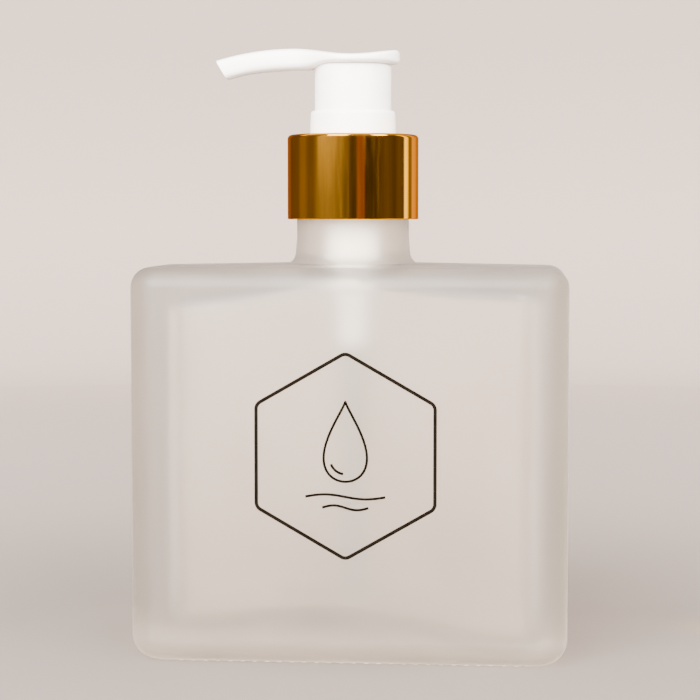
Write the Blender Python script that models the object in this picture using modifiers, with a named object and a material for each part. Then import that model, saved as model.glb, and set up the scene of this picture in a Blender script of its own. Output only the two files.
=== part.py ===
"""A flat rectangular glass bottle with a lotion pump, as an assembly of its separate pieces.

The origin is the middle of the bottle's base, +Z is up, the wide front face looks along -Y and
the spout points along -X. Every dimension below is in millimetres; point() turns them to metres.
"""

import math

import bmesh
import bpy
from mathutils import Matrix, Vector

MM = 0.001

# Glass bottle
HALF_WIDTH = 52.6
HALF_DEPTH = 21.5
SHOULDER_HEIGHT = 96.0  # where the shoulder meets the neck's flare
SHOULDER_DROP = 0.7  # how much lower the shoulder is at its rounded edge
PLAN_RADIUS = 8.0  # the four upright edges
SHOULDER_RADIUS = 5.0
HEEL_RADIUS = 6.0
WALL = 3.9
FLOOR_THICKNESS = 8.0
CAVITY_RADIUS = 6.0  # the cavity's upper and lower edges
CAVITY_PLAN_RADIUS = 7.5
CEILING_DROP = 3.5  # how much lower the cavity's ceiling is at its edges than at the throat
THROAT_ROUND = 2.5
LEAST_CORNER = 4.0  # of any outline of the bottle
BEARING_WIDTH = 2.5  # the flat ring that the bottle stands on
DISH_DEPTH = 1.2  # the hollow inside that ring
NECK_RADIUS = 13.7
NECK_DRAFT = 0.3  # how much wider the neck is just above its flare
NECK_FLARE = 2.2  # how far its foot spreads
FLARE_HEIGHT = 3.0
BORE_RADIUS = 10.0
FINISH_BASE = 107.6
FINISH_RADIUS = 12.55
LIP_HEIGHT = 120.5
LIP_ROUND = 0.6

# Screw thread of a 28 mm finish: one and a half turns, six threads to the inch
PITCH = 25.4 / 6
THREAD_TURNS = 1.5
THREAD_ROOT_WIDTH = 2.3
THREAD_CREST_WIDTH = 0.9
GLASS_THREAD_START = 111.1
GLASS_THREAD_CREST = 13.75
CAP_THREAD_START = GLASS_THREAD_START - 1.7  # the cap's rib runs under the glass rib
CAP_THREAD_CREST = 12.95

# Gap between faces that rest on each other
REST_GAP = 0.15

# Sealing gasket and screw cap
GASKET_RADIUS = 12.4
GASKET_HOLE = 10.0
GASKET_BOTTOM = LIP_HEIGHT + 0.1
GASKET_TOP = GASKET_BOTTOM + 1.0
CAP_RADIUS = 15.2
CAP_BORE = 14.05
CAP_HOLE = 10.45
CAP_BOTTOM = 107.1
CAP_TOP = 126.45
CAP_PLATE_TOP = 124.4
CAP_RIM_INNER = 13.9  # the cap's two rims hold up the metal shell
CAP_RIM_OUTER = 11.9

# Metal shell round the cap
SHELL_RADIUS = 16.0
SHELL_THICKNESS = 0.5
SHELL_BOTTOM = 106.7
SHELL_TOP = 127.2
SHELL_HOLE = 10.6
SHELL_ROUND = 1.0

# Pump housing
FLANGE_BOTTOM = GASKET_TOP + 0.1
FLANGE_TOP = FLANGE_BOTTOM + 1.0
FLANGE_RADIUS = 12.3
CYLINDER_RADIUS = 6.6
CYLINDER_BORE = 5.5
LEDGE_HEIGHT = 91.4  # the spring stands on it
CHAMBER_OUTER = 4.7
CHAMBER_RADIUS = 3.4
BEAD_RADIUS = 2.2  # narrower than the ball, to keep it in
BEAD_BOTTOM = 90.4
SEAT_TOP = 87.5
SEAT_BOTTOM = 85.6
INLET_RADIUS = 1.4
SOCKET_TOP = 84.6
SOCKET_BOTTOM = 76.0
SOCKET_RADIUS = 3.9
SOCKET_BORE = 2.95
VENT_RADIUS = 0.6
VENT_HEIGHT = 118.5

# Locking collar, which snaps into the housing
COLLAR_RADIUS = 10.5
COLLAR_TOP_RADIUS = 10.35
COLLAR_SHANK = 10.15
COLLAR_BORE = 9.55
COLLAR_TOP = 133.0
COLLAR_ROUND = 0.6  # across; the edge's rounding is taller than it is wide
COLLAR_ROUND_HEIGHT = 1.0
COLLAR_BOTTOM = FLANGE_TOP + REST_GAP
COLLAR_FLOOR = COLLAR_BOTTOM + 0.8
GUIDE_RADIUS = 5.2
GUIDE_BORE = 3.55
GUIDE_BOTTOM = 117.1

# Twist lock: the head's rib passes between the lugs when open, and lands on the wall when shut
LOCK_INNER = 6.0
LOCK_OUTER = 7.6
LOCK_WALL_TOP = 131.3
LOCK_LUG_TOP = 134.0
LOCK_RIB_ANGLE = 90.0
LOCK_RIB_HALF_WIDTH = 1.3
LOCK_RIB_INNER = 6.4
LOCK_TURN = 90.0
LOCK_GAP = 14.0  # degrees from the middle of the rib to the lug or wall beside it
LUG_SPAN = 11.0

# Check ball and dip tube
BALL_RADIUS = 2.4
BALL_HEIGHT = 87.66
TUBE_RADIUS = 2.8
TUBE_BORE = 2.0
TUBE_TOP = 84.3
TUBE_BOTTOM = 9.6
TUBE_CUT_ANGLE = 35.0

# Stem, piston and plug
STEM_RADIUS = 3.3
STEM_BORE = 1.95
STEM_BOTTOM = 108.65
STEM_TOP = 141.5
STOP_RADIUS = 4.4  # the ring that stops the stem under the collar's guide
STOP_BOTTOM = 116.0
STOP_TOP = 116.8
PORT_WIDTH = 1.4
PORT_TOP = 110.1
PISTON_RADIUS = 5.42
PISTON_WAIST = 4.9
PISTON_BORE = 3.45
PISTON_BOTTOM = 108.45
PISTON_TOP = 114.8
PISTON_BAND = 1.3
PLUG_RADIUS = 4.9
PLUG_TOP = 108.25
PLUG_BOTTOM = 106.4
SPIGOT_RADIUS = 3.4
SPIGOT_BOTTOM = 103.4
SHANK_TOP = 113.0
SHANK_WIDTH = 3.5
SHANK_THICKNESS = 0.9

# Return spring
SPRING_RADIUS = 4.3
SPRING_WIRE = 0.7
SPRING_TURNS = 8
SPRING_BOTTOM = LEDGE_HEIGHT + 0.2
SPRING_TOP = PLUG_BOTTOM - 0.2

# Head
SKIRT_RADIUS = 9.33
SKIRT_BORE = 8.0
SKIRT_BOTTOM = 131.6
SKIRT_TOP = 144.25  # just inside the pad
SKIRT_ROUND = 0.9
CEILING = 141.9
CUP_TOP = 145.2
BOSS_RADIUS = 4.7
BOSS_BORE = 3.45
BOSS_BOTTOM = 132.4
PAD_RADIUS = 11.4
PAD_UNDERSIDE = 144.1
PAD_LIFT = 0.35  # how much higher the underside is at the pad's rear edge
PAD_DISH_TOP = 146.5  # the lowest line of the thumb's hollow
PAD_DISH_X = 0.3
CREST_HEIGHT = 148.1
REAR_CREST_HEIGHT = 147.85
CREST_X = -14.4
SPOUT_DROOP = 0.0076  # the fall of its top towards the tip, per millimetre squared
SPOUT_TIP = -33.4
SPOUT_UNDERSIDE = 143.0
UNDERSIDE_DROOP = 0.0045
SPOUT_HALF_WIDTH = 5.0
ROOT_X = -14.5  # where the spout starts to widen into the pad
TIP_HALF_WIDTH = 3.5
TIP_SLANT = 2.7  # how far the top of the mouth reaches past its foot
SLANT_REACH = 9.0
CHANNEL_RADIUS = 1.35
# x and height along the channel's middle line, from above the stem to near the mouth
CHANNEL_LINE = ((0, 144.6), (-1.2, 145.1), (-12, 145.4), (-22, 144.9), (-29, 143.9))
CHANNEL_MOUTH_HEIGHT = 142.9
PAD_ANGLES = (-90, -75, -60, -45, -30, -15, 0, 15, 30, 45, 58, 68, 76, 82, 87)  # closer at its back
SPOUT_STATIONS = 8

# Facets of the turned pieces, and steps along each quarter of the bottle's outline
SIDES = 40
SMALL_SIDES = 24
SIDE_STEPS = 3
CORNER_STEPS = 5
FACE_STEPS = 6
QUADRANT_STEPS = SIDE_STEPS + CORNER_STEPS + FACE_STEPS

GLASS = ("frosted_glass", (0.80, 0.78, 0.76), 0.5, 0.0)
GOLD = ("gold_aluminium", (0.83, 0.55, 0.17), 0.12, 1.0)
WHITE = ("white_plastic", (0.93, 0.93, 0.92), 0.35, 0.0)
NATURAL = ("natural_plastic", (0.80, 0.82, 0.82), 0.4, 0.0)
SEAL = ("sealing_plastic", (0.72, 0.74, 0.75), 0.7, 0.0)
STEEL = ("stainless_steel", (0.62, 0.62, 0.64), 0.25, 1.0)


def point(x, y, z):
    return Vector((x * MM, y * MM, z * MM))


def clear_scene():
    for obj in list(bpy.data.objects):
        bpy.data.objects.remove(obj)


def new_collection(name):
    collection = bpy.data.collections.new(name)
    bpy.context.scene.collection.children.link(collection)
    return collection


def material_of(spec):
    """The Principled material that a spec of name, colour, roughness and metallic value asks for."""
    name, colour, roughness, metallic = spec
    material = bpy.data.materials.get(name)
    if material is None:
        material = bpy.data.materials.new(name)
        material.use_nodes = True
        shader = material.node_tree.nodes["Principled BSDF"]
        shader.inputs["Base Color"].default_value = (*colour, 1.0)
        shader.inputs["Roughness"].default_value = roughness
        shader.inputs["Metallic"].default_value = metallic
    return material


def add_object(name, data, spec=None):
    """A visible part, or with no material spec a helper that only shapes other parts."""
    obj = bpy.data.objects.new(name, data)
    if spec is None:
        helpers.objects.link(obj)
        obj.hide_render = True
        obj.display_type = "WIRE"
    else:
        parts.objects.link(obj)
        obj.data.materials.append(material_of(spec))
    return obj


def mesh_from(name, bm):
    """The mesh of a bmesh, smooth except at its hard edges."""
    bmesh.ops.recalc_face_normals(bm, faces=bm.faces)
    mesh = bpy.data.meshes.new(name)
    bm.to_mesh(mesh)
    bm.free()
    mesh.shade_smooth()
    mesh.set_sharp_from_angle(angle=math.radians(32))
    return mesh


def arc(centre_x, centre_y, radius, start, end, steps):
    """Points of an arc in a plane, angles in degrees."""
    angles = [math.radians(start + (end - start) * i / steps) for i in range(steps + 1)]
    return [(centre_x + radius * math.cos(a), centre_y + radius * math.sin(a)) for a in angles]


def turned(name, profile, spec=None, sides=SIDES, ring=True):
    """A profile of (radius, height) turned about Z, which runs down its outer side.

    A ring's profile closes on itself, and any other starts and ends on the axis.
    """
    mesh = bpy.data.meshes.new(name)
    count = len(profile)
    edges = [(i, (i + 1) % count) for i in range(count if ring else count - 1)]
    mesh.from_pydata([point(r, 0, z) for r, z in profile], edges, [])
    obj = add_object(name, mesh, spec)
    screw = obj.modifiers.new("turn", "SCREW")
    screw.steps = sides
    screw.render_steps = sides
    screw.use_merge_vertices = True
    screw.merge_threshold = 0.000005
    return obj


def loft(name, rings, spec=None):
    """A closed skin over rings of equally many points, with a flat face on each end."""
    bm = bmesh.new()
    rows = [[bm.verts.new(p) for p in ring] for ring in rings]
    for low, high in zip(rows, rows[1:]):
        for i in range(len(low)):
            j = (i + 1) % len(low)
            bm.faces.new((low[i], low[j], high[j], high[i]))
    bm.faces.new(list(reversed(rows[0])))
    bm.faces.new(rows[-1])
    return add_object(name, mesh_from(name, bm), spec)


def box(name, low, high):
    bm = bmesh.new()
    bmesh.ops.create_cube(bm, size=1.0)
    low, high = point(*low), point(*high)
    bmesh.ops.scale(bm, vec=high - low, verts=bm.verts)
    bmesh.ops.translate(bm, vec=(low + high) / 2, verts=bm.verts)
    return add_object(name, mesh_from(name, bm))


def sector(name, inner, outer, bottom, top, start, end):
    """An upright wall that follows an arc about Z, angles in degrees."""
    bm = bmesh.new()
    steps = max(2, round((end - start) / 10))
    outline = arc(0, 0, outer, start, end, steps) + arc(0, 0, inner, end, start, steps)
    foot = bm.faces.new([bm.verts.new(point(x, y, bottom)) for x, y in outline])
    raised = bmesh.ops.extrude_face_region(bm, geom=[foot])["geom"]
    moved = [v for v in raised if isinstance(v, bmesh.types.BMVert)]
    bmesh.ops.translate(bm, vec=point(0, 0, top - bottom), verts=moved)
    return add_object(name, mesh_from(name, bm))


def bar_curve(name, path, radius, spec=None):
    """A round bar with closed ends along a path of (x, y, z) points."""
    curve = bpy.data.curves.new(name, "CURVE")
    curve.dimensions = "3D"
    curve.bevel_depth = radius * MM
    curve.bevel_resolution = 2
    curve.use_fill_caps = True
    spline = curve.splines.new("POLY")
    spline.points.add(len(path) - 1)
    for target, source in zip(spline.points, path):
        target.co = (*point(*source), 1.0)
    return add_object(name, curve, spec)


def cutter_from_curve(curve_object):
    """A mesh helper in place of a curve, with the curve's loose end caps welded on."""
    graph = bpy.context.evaluated_depsgraph_get()
    bm = bmesh.new()
    bm.from_mesh(bpy.data.meshes.new_from_object(curve_object.evaluated_get(graph)))
    bmesh.ops.remove_doubles(bm, verts=bm.verts, dist=0.000001)
    name, matrix = curve_object.name, curve_object.matrix_world.copy()
    bpy.data.objects.remove(curve_object)
    made = add_object(name, mesh_from(name, bm))
    made.matrix_world = matrix
    return made


def combine(target, tool, operation):
    modifier = target.modifiers.new(tool.name, "BOOLEAN")
    modifier.operation = operation
    modifier.solver = "EXACT"
    modifier.object = tool


def thread_rib(name, wall, crest, start_height):
    """A right-hand helical rib on a wall of this radius, lower at both of its ends."""
    steps_per_turn, fade_steps = 26, 5
    count = int(steps_per_turn * THREAD_TURNS)
    buried = wall + math.copysign(0.45, wall - crest)
    rings = []
    for i in range(count + 1):
        angle = math.tau * THREAD_TURNS * i / count
        height = start_height + PITCH * THREAD_TURNS * i / count
        share = min(1.0, i / fade_steps, (count - i) / fade_steps)
        top = buried + (crest - buried) * (0.3 + 0.7 * share)
        section = [
            (buried, height - THREAD_ROOT_WIDTH / 2),
            (top, height - THREAD_CREST_WIDTH / 2),
            (top, height + THREAD_CREST_WIDTH / 2),
            (buried, height + THREAD_ROOT_WIDTH / 2),
        ]
        rings.append([point(r * math.cos(angle), r * math.sin(angle), z) for r, z in section])
    return loft(name, rings)


def rounded_outline(inset, radius, height, wall=0.0):
    """The bottle's outline seen from above, inset by so much, with its corners rounded."""
    half_width, half_depth = HALF_WIDTH - wall - inset, HALF_DEPTH - wall - inset
    straight_x, straight_y = half_width - radius, half_depth - radius
    quadrant = [(half_width, straight_y * i / SIDE_STEPS) for i in range(SIDE_STEPS)]
    quadrant += arc(straight_x, straight_y, radius, 0, 90, CORNER_STEPS)
    quadrant += [(straight_x * (1 - i / FACE_STEPS), half_depth) for i in range(1, FACE_STEPS)]
    half = quadrant + [(0.0, half_depth)] + [(-x, y) for x, y in reversed(quadrant[1:])]
    outline = half + [(-x, -y) for x, y in half]
    return [point(x, y, height) for x, y in outline]


def round_outline(radius, height):
    """A circle with as many points as the bottle's outline."""
    count = 4 * QUADRANT_STEPS
    angles = [math.tau * i / count for i in range(count)]
    return [point(radius * math.cos(a), radius * math.sin(a), height) for a in angles]


def blended(first, second, steps):
    """The rings between two others."""
    shares = [i / steps for i in range(1, steps)]
    return [[a.lerp(b, share) for a, b in zip(first, second)] for share in shares]


def edge_rings(radius, plan_radius, edge, wall, start, end, steps):
    """Rings round a quarter-round edge whose outermost height is edge, angles in degrees."""
    rings = []
    for run, rise in arc(0, 0, radius, start, end, steps):
        inset = radius - run
        corner = max(plan_radius - inset, LEAST_CORNER)
        rings.append(rounded_outline(inset, corner, edge + rise, wall))
    return rings


def outer_rings():
    """The bottle's outside, from the hollow under its base up to its lip."""
    heel = edge_rings(HEEL_RADIUS, PLAN_RADIUS, HEEL_RADIUS, 0.0, -90, 0, 5)
    bearing_inset = HEEL_RADIUS + BEARING_WIDTH
    rings = [rounded_outline(bearing_inset + 3.0, LEAST_CORNER, DISH_DEPTH)]
    rings += [rounded_outline(bearing_inset, LEAST_CORNER, 0.0)]
    rings += heel
    edge = SHOULDER_HEIGHT - SHOULDER_DROP - SHOULDER_RADIUS
    shoulder = edge_rings(SHOULDER_RADIUS, PLAN_RADIUS, edge, 0.0, 0, 90, 5)
    flare_radius = NECK_RADIUS + NECK_DRAFT + NECK_FLARE
    flare_foot = round_outline(flare_radius, SHOULDER_HEIGHT)
    rings += shoulder + blended(shoulder[-1], flare_foot, 4)
    flare = [
        (flare_radius + NECK_FLARE * run, SHOULDER_HEIGHT + FLARE_HEIGHT * (1 + rise))
        for run, rise in arc(0, 0, 1.0, -90, -180, 4)
    ]
    finish = [(NECK_RADIUS, 102.5), (NECK_RADIUS, FINISH_BASE - 0.4), (FINISH_RADIUS, FINISH_BASE)]
    lip = arc(FINISH_RADIUS - LIP_ROUND, LIP_HEIGHT - LIP_ROUND, LIP_ROUND, 0, 90, 2)
    return rings + [round_outline(r, z) for r, z in flare + finish + lip]


def inner_rings():
    """The bottle's inside, from its lip down to the cavity's floor."""
    top = SHOULDER_HEIGHT - WALL
    throat = arc(BORE_RADIUS + THROAT_ROUND, top + THROAT_ROUND, THROAT_ROUND, 180, 270, 3)
    lip = arc(BORE_RADIUS + LIP_ROUND, LIP_HEIGHT - LIP_ROUND, LIP_ROUND, 90, 180, 2)
    rings = [round_outline(r, z) for r, z in lip + throat]
    edge = top - CEILING_DROP - CAVITY_RADIUS
    upper = edge_rings(CAVITY_RADIUS, CAVITY_PLAN_RADIUS, edge, WALL, 90, 0, 4)
    edge = FLOOR_THICKNESS + CAVITY_RADIUS
    lower = edge_rings(CAVITY_RADIUS, CAVITY_PLAN_RADIUS, edge, WALL, 0, -90, 4)
    return rings + blended(rings[-1], upper[0], 3) + upper + lower


def build_bottle():
    bottle = loft("bottle", outer_rings() + inner_rings(), GLASS)
    rib = thread_rib("bottle_thread", FINISH_RADIUS, GLASS_THREAD_CREST, GLASS_THREAD_START)
    combine(bottle, rib, "UNION")


def build_gasket():
    half = [(GASKET_RADIUS, GASKET_TOP), (GASKET_RADIUS, GASKET_BOTTOM)]
    turned("gasket", half + [(GASKET_HOLE, GASKET_BOTTOM), (GASKET_HOLE, GASKET_TOP)], SEAL)


def build_screw_cap():
    ceiling = FLANGE_TOP + REST_GAP
    profile = [
        (CAP_RADIUS, CAP_TOP),
        (CAP_RADIUS, CAP_BOTTOM),
        (CAP_BORE, CAP_BOTTOM),
        (CAP_BORE, ceiling),
        (CAP_HOLE, ceiling),
        (CAP_HOLE, CAP_TOP),
        (CAP_RIM_OUTER, CAP_TOP),
        (CAP_RIM_OUTER, CAP_PLATE_TOP),
        (CAP_RIM_INNER, CAP_PLATE_TOP),
        (CAP_RIM_INNER, CAP_TOP),
    ]
    cap = turned("screw_cap", profile, WHITE)
    rib = thread_rib("cap_thread", CAP_BORE, CAP_THREAD_CREST, CAP_THREAD_START)
    combine(cap, rib, "UNION")


def build_collar_shell():
    inner = SHELL_RADIUS - SHELL_THICKNESS
    profile = [(SHELL_HOLE, SHELL_TOP)]
    profile += arc(SHELL_RADIUS - SHELL_ROUND, SHELL_TOP - SHELL_ROUND, SHELL_ROUND, 90, 0, 5)
    profile += [(SHELL_RADIUS, SHELL_BOTTOM + 0.2), (SHELL_RADIUS - 0.15, SHELL_BOTTOM)]
    profile += [(inner, SHELL_BOTTOM), (inner, SHELL_TOP - SHELL_THICKNESS)]
    profile += [(SHELL_HOLE, SHELL_TOP - SHELL_THICKNESS)]
    turned("collar_shell", profile, GOLD, sides=64)


def build_housing():
    profile = [
        (FLANGE_RADIUS, FLANGE_TOP),
        (FLANGE_RADIUS, FLANGE_BOTTOM),
        (CYLINDER_RADIUS + 0.8, FLANGE_BOTTOM),
        (CYLINDER_RADIUS, FLANGE_BOTTOM - 0.8),
        (CYLINDER_RADIUS, LEDGE_HEIGHT - 1.2),
        (CHAMBER_OUTER, LEDGE_HEIGHT - 2.6),
        (CHAMBER_OUTER, SEAT_BOTTOM),
        (SOCKET_RADIUS, SEAT_BOTTOM - 0.8),
        (SOCKET_RADIUS, SOCKET_BOTTOM),
        (SOCKET_BORE, SOCKET_BOTTOM),
        (SOCKET_BORE, SOCKET_TOP),
        (INLET_RADIUS, SOCKET_TOP),
        (INLET_RADIUS, SEAT_BOTTOM),
        (CHAMBER_RADIUS, SEAT_TOP),
        (CHAMBER_RADIUS, BEAD_BOTTOM),
        (BEAD_RADIUS, BEAD_BOTTOM),
        (BEAD_RADIUS, LEDGE_HEIGHT),
        (CYLINDER_BORE, LEDGE_HEIGHT),
        (CYLINDER_BORE, FLANGE_TOP - 0.4),
        (CYLINDER_BORE + 0.3, FLANGE_TOP),
    ]
    housing = turned("pump_housing", profile, WHITE)
    path = [(CYLINDER_BORE - 0.3, 0, VENT_HEIGHT), (CYLINDER_RADIUS + 1.0, 0, VENT_HEIGHT)]
    combine(housing, cutter_from_curve(bar_curve("vent_cutter", path, VENT_RADIUS)), "DIFFERENCE")


def build_locking_collar():
    profile = [(COLLAR_BORE, COLLAR_TOP)]
    round_x, round_z = COLLAR_TOP_RADIUS - COLLAR_ROUND, COLLAR_TOP - COLLAR_ROUND_HEIGHT
    profile += [
        (round_x + COLLAR_ROUND * run, round_z + COLLAR_ROUND_HEIGHT * rise)
        for run, rise in arc(0, 0, 1.0, 90, 0, 4)
    ]
    profile += [
        (COLLAR_RADIUS, SHELL_TOP + REST_GAP),
        (COLLAR_SHANK, SHELL_TOP + REST_GAP),
        (COLLAR_SHANK, COLLAR_BOTTOM),
        (GUIDE_RADIUS, COLLAR_BOTTOM),
        (GUIDE_RADIUS, GUIDE_BOTTOM),
        (GUIDE_BORE, GUIDE_BOTTOM),
        (GUIDE_BORE, COLLAR_FLOOR),
        (COLLAR_BORE, COLLAR_FLOOR),
    ]
    collar = turned("locking_collar", profile, WHITE)
    foot = COLLAR_FLOOR - 0.4
    open_side = LOCK_RIB_ANGLE + LOCK_GAP
    shut_side = LOCK_RIB_ANGLE - LOCK_TURN - LOCK_GAP
    walls = [
        ("lock_open_lug", LOCK_LUG_TOP, open_side, open_side + LUG_SPAN),
        ("lock_wall", LOCK_WALL_TOP, shut_side - LUG_SPAN / 2, LOCK_RIB_ANGLE - LOCK_GAP),
        ("lock_shut_lug", LOCK_LUG_TOP, shut_side - LUG_SPAN, shut_side),
    ]
    for name, top, start, end in walls:
        combine(collar, sector(name, LOCK_INNER, LOCK_OUTER, foot, top, start, end), "UNION")


def build_check_ball():
    bm = bmesh.new()
    bmesh.ops.create_uvsphere(bm, u_segments=20, v_segments=12, radius=BALL_RADIUS * MM)
    ball = add_object("check_ball", mesh_from("check_ball", bm), STEEL)
    ball.location = point(0, 0, BALL_HEIGHT)


def build_dip_tube():
    profile = [(TUBE_RADIUS, TUBE_TOP), (TUBE_RADIUS, TUBE_BOTTOM)]
    profile += [(TUBE_BORE, TUBE_BOTTOM), (TUBE_BORE, TUBE_TOP)]
    tube = turned("dip_tube", profile, NATURAL, sides=SMALL_SIDES)
    cutter = box("tube_cutter", (-10, -10, -10), (10, 10, 0))
    turn = Matrix.Rotation(math.radians(TUBE_CUT_ANGLE), 4, "Y")
    lift = TUBE_BOTTOM + TUBE_RADIUS * math.tan(math.radians(TUBE_CUT_ANGLE))
    cutter.matrix_world = Matrix.Translation(point(0, 0, lift)) @ turn
    combine(tube, cutter, "DIFFERENCE")


def build_stem():
    profile = [
        (STEM_RADIUS, STEM_TOP),
        (STEM_RADIUS, STOP_TOP),
        (STOP_RADIUS, STOP_TOP),
        (STOP_RADIUS, STOP_BOTTOM),
        (STEM_RADIUS, STOP_BOTTOM),
        (STEM_RADIUS, STEM_BOTTOM),
        (STEM_BORE, STEM_BOTTOM),
        (STEM_BORE, STEM_TOP),
    ]
    stem = turned("stem", profile, WHITE, sides=SMALL_SIDES)
    low = (-STEM_RADIUS - 1, -PORT_WIDTH / 2, STEM_BOTTOM - 1)
    high = (STEM_RADIUS + 1, PORT_WIDTH / 2, PORT_TOP)
    combine(stem, box("port_cutter", low, high), "DIFFERENCE")


def build_piston():
    profile = [
        (PISTON_RADIUS, PISTON_TOP),
        (PISTON_RADIUS, PISTON_TOP - PISTON_BAND),
        (PISTON_WAIST, PISTON_TOP - PISTON_BAND - 0.5),
        (PISTON_WAIST, PISTON_BOTTOM + PISTON_BAND + 0.5),
        (PISTON_RADIUS, PISTON_BOTTOM + PISTON_BAND),
        (PISTON_RADIUS, PISTON_BOTTOM),
        (PISTON_BORE, PISTON_BOTTOM),
        (PISTON_BORE, PISTON_TOP),
    ]
    turned("piston", profile, SEAL)


def build_valve_plug():
    profile = [
        (0, PLUG_TOP),
        (PLUG_RADIUS, PLUG_TOP),
        (PLUG_RADIUS, PLUG_BOTTOM),
        (SPIGOT_RADIUS, PLUG_BOTTOM),
        (SPIGOT_RADIUS, SPIGOT_BOTTOM + 0.5),
        (SPIGOT_RADIUS - 0.5, SPIGOT_BOTTOM),
        (0, SPIGOT_BOTTOM),
    ]
    plug = turned("valve_plug", profile, WHITE, sides=SMALL_SIDES, ring=False)
    long, short, foot = SHANK_WIDTH / 2, SHANK_THICKNESS / 2, PLUG_TOP - 0.4
    blade = box("shank_blade", (-long, -short, foot), (long, short, SHANK_TOP))
    cross_blade = box("shank_cross_blade", (-short, -long, foot), (short, long, SHANK_TOP))
    combine(plug, blade, "UNION")
    combine(plug, cross_blade, "UNION")


def build_return_spring():
    """A coil whose first and last turns lie nearly flat."""
    points_per_turn, end_rise = 14, 0.85
    low, high = SPRING_BOTTOM + SPRING_WIRE / 2, SPRING_TOP - SPRING_WIRE / 2
    inner_rise = (high - low - 2 * end_rise) / (SPRING_TURNS - 2)
    path = []
    for i in range(points_per_turn * SPRING_TURNS + 1):
        turn = i / points_per_turn
        rise = end_rise * min(turn, 1) + end_rise * max(turn - SPRING_TURNS + 1, 0)
        rise += inner_rise * min(max(turn - 1, 0), SPRING_TURNS - 2)
        angle = math.tau * turn
        x, y = SPRING_RADIUS * math.cos(angle), SPRING_RADIUS * math.sin(angle)
        path.append((x, y, low + rise))
    bar_curve("return_spring", path, SPRING_WIRE / 2, STEEL)


def head_top(x):
    """Height of the head's upper face: a hollow for the thumb, then the spout's falling back."""
    if x < CREST_X:
        return CREST_HEIGHT - SPOUT_DROOP * (x - CREST_X) ** 2
    crest = REAR_CREST_HEIGHT if x > PAD_DISH_X else CREST_HEIGHT
    share = min(1.0, abs(x - PAD_DISH_X) / (PAD_DISH_X - CREST_X))
    return PAD_DISH_TOP + (crest - PAD_DISH_TOP) * (1 - math.cos(math.pi * share)) / 2


def head_underside(x):
    """Height of the pad's underside, which steps down to the spout's."""
    start = -PAD_RADIUS
    share = min(1.0, max(0.0, (x - start) / 6.0))
    ease = share * share * (3 - 2 * share)
    spout = SPOUT_UNDERSIDE - UNDERSIDE_DROOP * min(0.0, x - start) ** 2
    lift = PAD_LIFT * (max(0.0, x) / PAD_RADIUS) ** 2
    return spout + (PAD_UNDERSIDE - SPOUT_UNDERSIDE) * ease + lift


def head_half_width(x):
    """Half the head's width: the pad's round back, then a spout that widens into its front."""
    if x > 0:
        return math.sqrt(max(0.0, PAD_RADIUS**2 - x**2))
    share = min(1.0, (x - SPOUT_TIP) / (-PAD_RADIUS - SPOUT_TIP))
    spout = TIP_HALF_WIDTH + (SPOUT_HALF_WIDTH - TIP_HALF_WIDTH) * share
    widening = (1 - math.cos(math.pi * max(0.0, 1 - x / ROOT_X))) / 2
    return spout + (PAD_RADIUS - spout) * widening


def head_section(x):
    """One cross-section of the head, a soft-cornered rectangle."""
    count, corner = 24, 0.55
    high, low = head_top(x), head_underside(x)
    end_share = max(0.0, (x - PAD_RADIUS + 1.3) / 1.3)
    shrink = (1 - 0.95 * end_share**3) ** (1 / 3)
    middle, half = (high + low) / 2, (high - low) / 2 * shrink
    slant = TIP_SLANT * max(0.0, 1 - (x - SPOUT_TIP) / SLANT_REACH)
    section = []
    for i in range(count):
        angle = math.tau * i / count
        across, up = math.cos(angle), math.sin(angle)
        y = head_half_width(x) * math.copysign(abs(across) ** corner, across)
        rise = math.copysign(abs(up) ** corner, up)
        section.append(point(x + slant * (1 - rise) / 2, y, middle + half * rise))
    return section


def build_head():
    profile = [
        (0, CUP_TOP),
        (SKIRT_RADIUS - SKIRT_ROUND, CUP_TOP),
        *arc(SKIRT_RADIUS - SKIRT_ROUND, SKIRT_TOP - SKIRT_ROUND, SKIRT_ROUND, 90, 0, 3),
        (SKIRT_RADIUS, SKIRT_BOTTOM + 0.3),
        (SKIRT_RADIUS - 0.3, SKIRT_BOTTOM),
        (SKIRT_BORE, SKIRT_BOTTOM),
        (SKIRT_BORE, CEILING),
        (BOSS_RADIUS, CEILING),
        (BOSS_RADIUS, BOSS_BOTTOM),
        (BOSS_BORE, BOSS_BOTTOM),
        (BOSS_BORE, CEILING),
        (0, CEILING),
    ]
    head = turned("pump_head", profile, WHITE, ring=False)
    spacing = (-PAD_RADIUS - SPOUT_TIP) / SPOUT_STATIONS
    stations = [SPOUT_TIP + spacing * i for i in range(SPOUT_STATIONS)]
    stations += [PAD_RADIUS * math.sin(math.radians(angle)) for angle in PAD_ANGLES]
    combine(head, loft("spout", [head_section(x) for x in stations]), "UNION")
    half, reach = LOCK_RIB_HALF_WIDTH, SKIRT_BORE + 0.5
    rib = box("lock_rib", (LOCK_RIB_INNER, -half, SKIRT_BOTTOM + 0.1), (reach, half, CEILING + 0.5))
    rib.matrix_world = Matrix.Rotation(math.radians(LOCK_RIB_ANGLE), 4, "Z")
    combine(head, rib, "UNION")
    path = [(0, 0, CEILING - 1)] + [(x, 0, z) for x, z in CHANNEL_LINE]
    path += [(SPOUT_TIP - 2, 0, CHANNEL_MOUTH_HEIGHT)]
    channel = cutter_from_curve(bar_curve("channel_cutter", path, CHANNEL_RADIUS))
    combine(head, channel, "DIFFERENCE")


clear_scene()
parts = new_collection("pump_oil_bottle")
helpers = new_collection("helpers")
helpers.hide_render = True
build_bottle()
build_gasket()
build_screw_cap()
build_collar_shell()
build_housing()
build_locking_collar()
build_check_ball()
build_dip_tube()
build_stem()
build_piston()
build_valve_plug()
build_return_spring()
build_head()
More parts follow.
